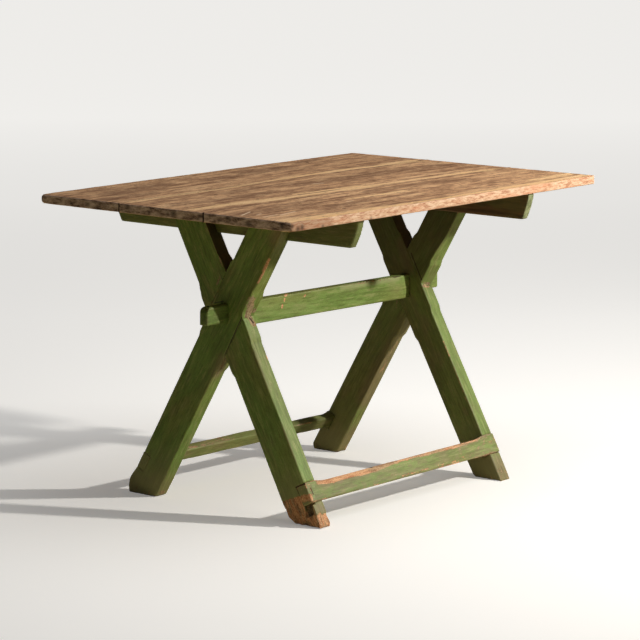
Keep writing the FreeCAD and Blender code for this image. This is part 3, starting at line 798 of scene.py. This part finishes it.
def timber_wear(node, points, facing, local, distance, across):
    """How far each point of a timber is worn in, and its attributes."""
    mm = points * 1000
    x, y, z = mm.T
    seed = seeds[node]
    patchy = noise(local, patch_size, seed, 3)
    long_patches = noise(local, long_patch_size, seed + 7, 2)
    ragged = noise(local, ragged_size, seed + 3, 3)
    arris = ease(distance, arris_reach, 0.0005)
    worn_in = arris_depth * ease(distance, arris_reach, 0.0) * (0.3 + patchy) - face_swelling
    look = {
        "wear": arris * (0.12 + 0.42 * ease(long_patches, 0.45, 0.72)),
        "fresh": 0.8 * ease(noise(local, patch_size, seed + 11, 2), 0.45, 0.7),
        "dirt": 0.35 * ease(patchy, 0.5, 0.8),
        "dark": np.zeros(len(points)),
        "pale": 0.55 * arris * ease(long_patches, 0.35, 0.6),
        "soot_and_painted_shade": np.zeros(len(points)),
    }
    left_face = ease(-facing[:, 0], 0.4, 0.8)
    if node.startswith("right"):
        look["dirt"] += 0.40 * left_face
        # Painted shade: the right trestle's left faces, which look in under the top, are darkened more
        # towards the top.
        look["soot_and_painted_shade"] += left_face * (0.62 * ease(z, 380, 640) + 0.22 * ease(z, 150, 300))
    elif node.startswith("left"):
        look["dirt"] += 0.05 * left_face
    if node.endswith("rail"):
        look["pale"] += 0.8 * left_face
    if node.endswith("leg"):
        # Low on the legs' left faces the paint is made paler towards the floor: dust, and painted bounce
        # light from the floor.
        dust_and_bounce_light = ease(z + 60 * (patchy - 0.5), 170, 20) * left_face
        look["dirt"] += 1.1 * ease(z + 70 * (patchy - 0.5), 95, 20)
        look["dirt"] += 0.55 * arris * ease(z, 420, 240) * ease(patchy, 0.4, 0.6)
        look["pale"] += 1.0 * dust_and_bounce_light
        bare(look, 0.42 * ease(z + 26 * (ragged - 0.5), 26, 6), 0.1)
        worn_in += foot_depth * ease(z, 40, 0) * ragged
        look["dark"] = np.maximum(look["dark"], 0.6 * ease(z + 5 * (ragged - 0.5), 7, 1))
    forward = ease(facing @ across, 0.35, 0.7)
    if node.endswith("front_leg"):
        # Painted shade: the front legs' faces that look into the V above the crossing are made near black,
        # for the shadow of the top and the rear legs.
        look["dark"] = 0.9 * forward * ease(z, 552, 560)
    if node == "left_front_leg":
        limit = np.where(facing[:, 0] < -0.5, np.clip(50 + 0.42 * (-181 - y), 40, 72), 33.0)
        crumble = ease(z - limit + 16 * (ragged - 0.5), 3, -3)
        splits = noise(local, split_size, seed + 5, 3)
        bare(look, 1.2 * crumble, 0.4 + 0.6 * ease(splits, 0.40, 0.56))
        look["dirt"] *= 1 - crumble
        look["pale"] *= 1 - crumble
        look["dark"] = np.maximum(look["dark"], 0.52 * crumble * ease(splits, 0.40, 0.28))
        worn_in += crumble * (crumble_depth * noise(local, crumb_size, seed + 6, 3)
                              + split_depth * ease(splits, 0.36, 0.2))
        hollow = ease(x, -354, -350) * ease(x, -340, -344) * ease(z, 62, 56) * left_face
        bare(look, 1.2 * hollow, 0.0)
        look["dark"] = np.maximum(look["dark"], 0.55 * hollow)
    if node == "left_rear_leg":
        soiled = ease(z - (y - 232) * 0.85 + 14 * (ragged - 0.5), 5, -5)
        look["dirt"] = 0.75 * np.clip(look["dirt"] + 1.1 * soiled, 0, 1)
        look["pale"] += 1.2 * soiled
        bare(look, 0.30 * soiled, 0.0)
        # Painted shade: the left rear leg's upper front faces are darkened, where the top's shadow falls.
        look["soot_and_painted_shade"] += 0.35 * forward * ease(z, 540, 640)
    if node == "left_batten":
        # Painted shade: the front part of the left batten is darkened under the top.
        look["soot_and_painted_shade"] += 0.45 * ease(y, -60, -170)
    if node.startswith("right") and node.endswith("leg"):
        look["soot_and_painted_shade"] += 0.12 * forward
        look["dirt"] += 0.18 * forward
    if node == "right_front_leg":
        look["soot_and_painted_shade"] += 0.3 * left_face * ease(z, 110, 60)
        bare(look, 0.4 * ease(z + 18 * (ragged - 0.5), 52, 40) * ease(facing @ across, 0.3, 0.7), 0.1)
    if node == "front_rail":
        middle = (local[:, 1].min() + local[:, 1].max()) / 2
        width = 0.0050 + 0.0120 * noise(local, strip_size, seed + 13, 2) ** 1.2 * ease(x, 320, 200)
        run = ease(x, -322, -312) * ease(x, 320, 280)
        upper = (local[:, 1] > middle) * run
        strip = ease(distance - width + 0.005 * (ragged - 0.5), 0.0012, -0.0012) * upper
        bare(look, 1.1 * strip, 0.30 + 0.5 * ease(patchy, 0.35, 0.6))
        worn_in += strip_depth * strip * patchy
        look["dirt"] += 0.30 + 0.4 * ease(ragged, 0.45, 0.65)
        look["wear"] += 0.08 + 0.32 * ease(long_patches, 0.3, 0.6)
        look["dirt"] += 0.4 * ease(distance, arris_reach, 0.001) * (local[:, 1] < middle)
    if node == "rear_rail":
        look["dirt"] += 0.5
        look["wear"] += 0.22 * ease(patchy, 0.35, 0.6)
        rubbed = ease(facing[:, 2], 0.45, 0.7) * ease(long_patches, 0.2, 0.45) * ease(x, 40, -90)
        bare(look, 0.5 * rubbed, 0.3)
        # Painted shadow: the right part of the rear rail is darkened, where a shadow lies on it.
        look["soot_and_painted_shade"] += 0.35 * ease(x, -40, 120)
    if node.endswith("batten"):
        # The left batten's end is kept less pale than the right one's: painted shade from the top over it.
        end_pale = 0.35 if node == "left_batten" else 1.0
        look["pale"] = np.maximum(look["pale"], end_pale * ease(-facing[:, 1], 0.5, 0.8))
        look["dirt"] += 0.45 * (1 - look["pale"])
    if node == "centre_stretcher":
        look["soot_and_painted_shade"] += 0.18
    for kind, *ends, width, strength in marks.get(node, []):
        value = strength * stroke(mm, ends[:3], ends[3:], width)
        if kind in ("old", "new"):
            bare(look, value, 1.0 if kind == "new" else 0.0)
        else:
            look[kind] = np.maximum(look[kind], value)
    return worn_in, look


# Boards

def graded(low, high, fine, step):
    """Places from low to high: at the fine distances from both ends, and about a step apart between."""
    inner_low = low + fine[-1]
    inner_high = high - fine[-1]
    count = max(2, round((inner_high - inner_low) / step))
    middle = np.linspace(inner_low, inner_high, count + 1)[1:-1]
    return np.concatenate([low + np.array(fine), middle, (high - np.array(fine))[::-1]])


def block(xs, ys, zs):
    """Closed block meshed through these places: its points and its four-sided faces."""
    shape = (len(xs), len(ys), len(zs))
    outer = np.zeros(shape, bool)
    outer[[0, -1]] = True
    outer[:, [0, -1]] = True
    outer[:, :, [0, -1]] = True
    index = np.full(shape, -1)
    index[outer] = np.arange(outer.sum())
    points = np.stack(np.meshgrid(xs, ys, zs, indexing="ij"), -1)[outer]
    faces = []
    for axis in range(3):
        for end in (0, -1):
            side = np.take(index, end, axis=axis)
            ring = [side[:-1, :-1], side[1:, :-1], side[1:, 1:], side[:-1, 1:]]
            if (end == 0) != (axis == 1):
                ring.reverse()
            faces.append(np.stack(ring, -1).reshape(-1, 4))
    return points, np.concatenate(faces)


def rounded_board(points, low, high, corners, seams):
    """Rounds the outer corners in plan and all edges.

    It gives the points, their depth from the rim, and whether they are nearest to a seam.
    """
    points = points.copy()
    sides = np.stack([points[:, 0] - low[0], high[0] - points[:, 0],
                      points[:, 1] - low[1], high[1] - points[:, 1]], 1)
    directions = np.array([(1, 0), (-1, 0), (0, 1), (0, -1)], float)
    nearest_side = np.argmin(sides, axis=1)
    depth = sides[np.arange(len(points)), nearest_side]
    inward = directions[nearest_side]
    for (end, side), (plan_radius, _) in corners.items():
        corner = np.where((end > 0, side > 0), high[:2], low[:2])
        centre = corner - plan_radius * np.array([end, side])
        arm = points[:, :2] - centre
        inside = (arm[:, 0] * end > 0) & (arm[:, 1] * side > 0)
        length = np.maximum(np.hypot(arm[:, 0], arm[:, 1]), 1e-9)
        share = np.maximum(abs(arm[:, 0]), abs(arm[:, 1])) / length
        points[inside, :2] = (centre + arm * share[:, None])[inside]
        inward[inside] = (-arm / length[:, None])[inside]
    on_seam = np.isin(nearest_side, [2 if s < 0 else 3 for s in seams])
    radius = np.where(on_seam, board_seam_round, board_edge_round)
    for (end, side), (_, softness) in corners.items():
        corner = np.where((end > 0, side > 0), high[:2], low[:2])
        away = np.hypot(points[:, 0] - corner[0], points[:, 1] - corner[1])
        radius = radius + softness * ease(away, board_corner_reach, 0) * ~on_seam
    middle = (low[2] + high[2]) / 2
    up = np.sign(points[:, 2] - middle)
    level = (high[2] - low[2]) / 2 - abs(points[:, 2] - middle)
    a = radius - depth
    b = radius - level
    turning = (a > 0) & (b > 0)
    share = np.maximum(a, b) / np.maximum(np.hypot(a, b), 1e-9)
    points[turning, :2] += (inward * (a - a * share)[:, None])[turning]
    points[turning, 2] -= (up * (b - b * share))[turning]
    return points, depth, on_seam


def strokes(plan, lines, wander):
    """The strongest of some strokes at each point. wander varies their width."""
    found = np.zeros(len(plan))
    for *ends, width in lines:
        found = np.maximum(found, stroke(plan, ends[:2], ends[2:], width * wander))
    return found


def spots(plane, places):
    """1 in the middle of each place and falling to 0 at about its width."""
    found = np.zeros(len(plane))
    for across, height, width in places:
        found = np.maximum(found, np.exp(-np.sum((plane - (across, height)) ** 2, axis=1) / width ** 2))
    return found


def top_board(node, corners, seams, skew, finish):
    """One board of the top, with worn rims and a weathered face.

    corners gives the plan radius and softness of each outer corner, seams the sides (-1 front, 1 rear) that
    have a seam, and skew how far the left end falls back at the seam.
    """
    seed = seeds[node]
    low, high = (np.array(corner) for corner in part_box(node))
    xs = graded(low[0], high[0], board_rim_steps, board_step_along)
    ys = graded(low[1], high[1], board_side_steps, board_step_across)
    zs = graded(low[2], high[2], board_rim_steps[:5], board_step_thick)
    flat, faces = block(xs, ys, zs)
    points, depth, on_seam = rounded_board(flat, low, high, corners, seams)
    towards_seam = (high[1] - points[:, 1]) / (high[1] - low[1])
    points[:, 0] += skew * towards_seam * ease(points[:, 0] - low[0], 0.06, 0.0)
    mesh = piece_from(points, faces, finish, node)
    facing = read(mesh.vertex_normals, "vector")
    outward = flat - np.clip(flat, low + 0.004, high - 0.004)
    facing = np.where(np.sum(facing * outward, axis=1)[:, None] < 0, -facing, facing)
    middle = (low + high) / 2
    grain = flat - middle + np.array([seed * 1.7, seed * 0.31, seed * 0.11])
    rim = ease(depth, rim_reach, 0.0) * ~on_seam
    ragged = noise(grain, rim_patch_size, seed, 3)
    fine_ragged = noise(grain, rim_fine_size, seed + 1, 2)
    ridges = noise(grain, ridge_size, seed + 2, 2)
    seam_distance = np.full(len(flat), 1.0)
    for seam in seams:
        edge = high[1] if seam > 0 else low[1]
        seam_distance = np.minimum(seam_distance, abs(flat[:, 1] - edge))
    at_end = ease(abs(facing[:, 0]), 0.3, 0.7)
    worn_in = rim_depth * rim * ragged ** 2 + rim_fine_depth * rim * fine_ragged
    worn_in += ridge_depth * ridges * ~on_seam
    worn_in += seam_end_depth * at_end * ease(seam_distance, seam_end_reach, 0.0)
    points = np.clip(points - facing * worn_in[:, None], low, high)
    set_coordinates(mesh, points)
    plan = flat[:, :2] * 1000
    wander = 1 + 0.8 * (noise(grain, wander_size, seed + 4, 2) - 0.5)
    fibred = plan.copy()
    fibred[:, 0] += fibre_shift * (noise(grain, fibre_size, seed + 9, 2) - 0.5)
    knots = spots(flat[:, 1:] * 1000, end_knots) * at_end * ease(ragged, 0.3, 0.55)
    chips = spots(flat[:, [0, 2]] * 1000, front_chips) * ease(-facing[:, 1], 0.3, 0.7)
    holes = 0.95 * np.maximum(knots, chips)
    end = ease(abs(facing[:, 0]), 0.45, 0.8)
    over_arris = ease(flat[:, 0] - low[0] - 0.003 * ragged, 0.001, 0.0) * ease(facing[:, 2], 0.3, 0.9)
    long_side = ease(abs(facing[:, 1]), 0.35, 0.75) * ~on_seam
    for name, values in (
            ("grain", grain), ("light", strokes(fibred, light_strokes, wander)),
            ("weather", strokes(fibred, dark_strokes, wander)), ("scratch", strokes(plan, scratches, 1.0)),
            ("gap", np.maximum(ease(seam_distance, 0.0022, 0.0004), holes)), ("front", long_side),
            ("end", np.maximum(end, over_arris))):
        set_attribute(mesh, name, values)


# The table

wood = scrubbed_wood()
paint = green_paint()
old_wood = dark_wood()
peg_wood = small_part(
    "bare_peg", 0.75, (40.0, 300.0, 300.0), 3, 0.5,
    [(0.35, colour(108, 78, 50)), (0.65, colour(160, 122, 82))], (0.0004, 0.4))
iron = small_part(
    "rusty_iron", 0.7, 900.0, 4, 0.7,
    [(0.4, colour(44, 34, 28)), (0.62, colour(108, 66, 40))], (0.0004, 0.6), metallic=0.4)
painted = small_part(
    "painted_iron", 0.6, 500.0, 3, 0.5,
    [(0.4, colour(112, 128, 66)), (0.65, colour(134, 146, 84))], (0.0003, 0.4))

square_corner = (board_corner_round, 0.0)
top_board("top_board_rear", {(-1, 1): (board_left_rear_round, board_corner_softness), (1, 1): square_corner},
          [-1], rear_board_skew, wood)
top_board("top_board_middle", {}, [-1, 1], 0.0, wood)
top_board("top_board_front", {(-1, -1): (board_near_round, board_near_softness), (1, -1): square_corner},
          [1], 0.0, wood)

for node, lean in leg_lean.items():
    lean = math.radians(lean)
    worn_timber(node, (0, math.sin(lean), math.cos(lean)), (1, 0, 0), timber_voxel, paint)

front_tilt = math.radians(front_rail_tilt)
rear_tilt = math.radians(rear_rail_tilt)
for node, along, thick in (
        ("centre_stretcher", (1, 0, stretcher_slope), (0, 1, 0)),
        ("front_rail", (1, 0, front_rail_slope), (0, -math.cos(front_tilt), math.sin(front_tilt))),
        ("rear_rail", (1, 0, 0), (0, math.cos(rear_tilt), math.sin(rear_tilt)))):
    worn_timber(node, along, thick, timber_voxel, paint)
worn_timber("left_batten", (0, 1, 0), (1, 0, 0), batten_voxel, paint)
worn_timber("right_batten", (0, 1, 0), (1, 0, 0), batten_voxel, old_wood)

hidden = {("dowels", "pegs", "pin"): peg_wood, "board_nails": iron, "rail_nails": painted}
for endings, finish in hidden.items():
    for node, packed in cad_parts.items():
        if node.endswith(endings):
            slots = packed.material_slots
            if len(slots) == 0:
                packed.data.materials.append(finish)
            for held in slots:
                held.material = finish


# Floor, light and camera

def make_floor():
    mesh = bpy.data.meshes.new("floor")
    corners = [(x * floor_half_size, y * floor_half_size, 0) for x, y in ((-1, -1), (1, -1), (1, 1), (-1, 1))]
    mesh.from_pydata(corners, [], [(0, 1, 2, 3)])
    mesh.materials.append(pale_floor())
    floor = add_object("floor", mesh)


def direction(azimuth, elevation):
    """Unit vector towards a light. Azimuth is turned from +X towards +Y, in degrees."""
    a, e = math.radians(azimuth), math.radians(elevation)
    return Vector((math.cos(a) * math.cos(e), math.sin(a) * math.cos(e), math.sin(e)))


def make_lights():
    key_place = Vector(light_aim) + direction(key_azimuth, key_elevation) * key_reach
    white = (1.0, 1.0, 1.0)
    for name, shape, strength, size, spot, tint in (
            ("key", "DISK", key_strength, key_size, key_place, key_colour),
            ("top_fill", "SQUARE", top_fill_strength, top_fill_size, top_fill_place, white),
            ("front_fill", "SQUARE", front_fill_strength, front_fill_size, front_fill_place, white)):
        data = bpy.data.lights.new(name, "AREA")
        data.energy = strength
        data.shape = shape
        data.size = size
        data.color = tint
        lamp = add_object(name, data)
        lamp.location = spot
        lamp.rotation_euler = (Vector(spot) - Vector(light_aim)).to_track_quat("Z", "Y").to_euler()
    world = bpy.data.worlds.new("studio")
    world.use_nodes = True
    nodes = world.node_tree.nodes
    shade = next(n for n in nodes if n.type == "BACKGROUND")
    shade.inputs["Color"].default_value = (*white, 1.0)
    path = nodes.new("ShaderNodeLightPath")
    level = nodes.new("ShaderNodeMapRange")
    level.inputs["To Min"].default_value = world_strength
    level.inputs["To Max"].default_value = backdrop_strength
    world.node_tree.links.new(path.outputs["Is Camera Ray"], level.inputs["Value"])
    world.node_tree.links.new(level.outputs["Result"], shade.inputs["Strength"])
    bpy.context.scene.world = world


def make_camera():
    data = bpy.data.cameras.new("camera")
    data.lens = camera_lens
    data.sensor_width = camera_sensor
    data.clip_end = camera_far_end
    camera = add_object("camera", data)
    camera.location = camera_place
    camera.rotation_euler = Euler((math.radians(90 - camera_elevation), 0, math.radians(-camera_azimuth)))
    bpy.context.scene.camera = camera


make_floor()
make_lights()
make_camera()
bpy.context.scene.view_settings.view_transform = "Standard"


bpy.context.view_layer.update()
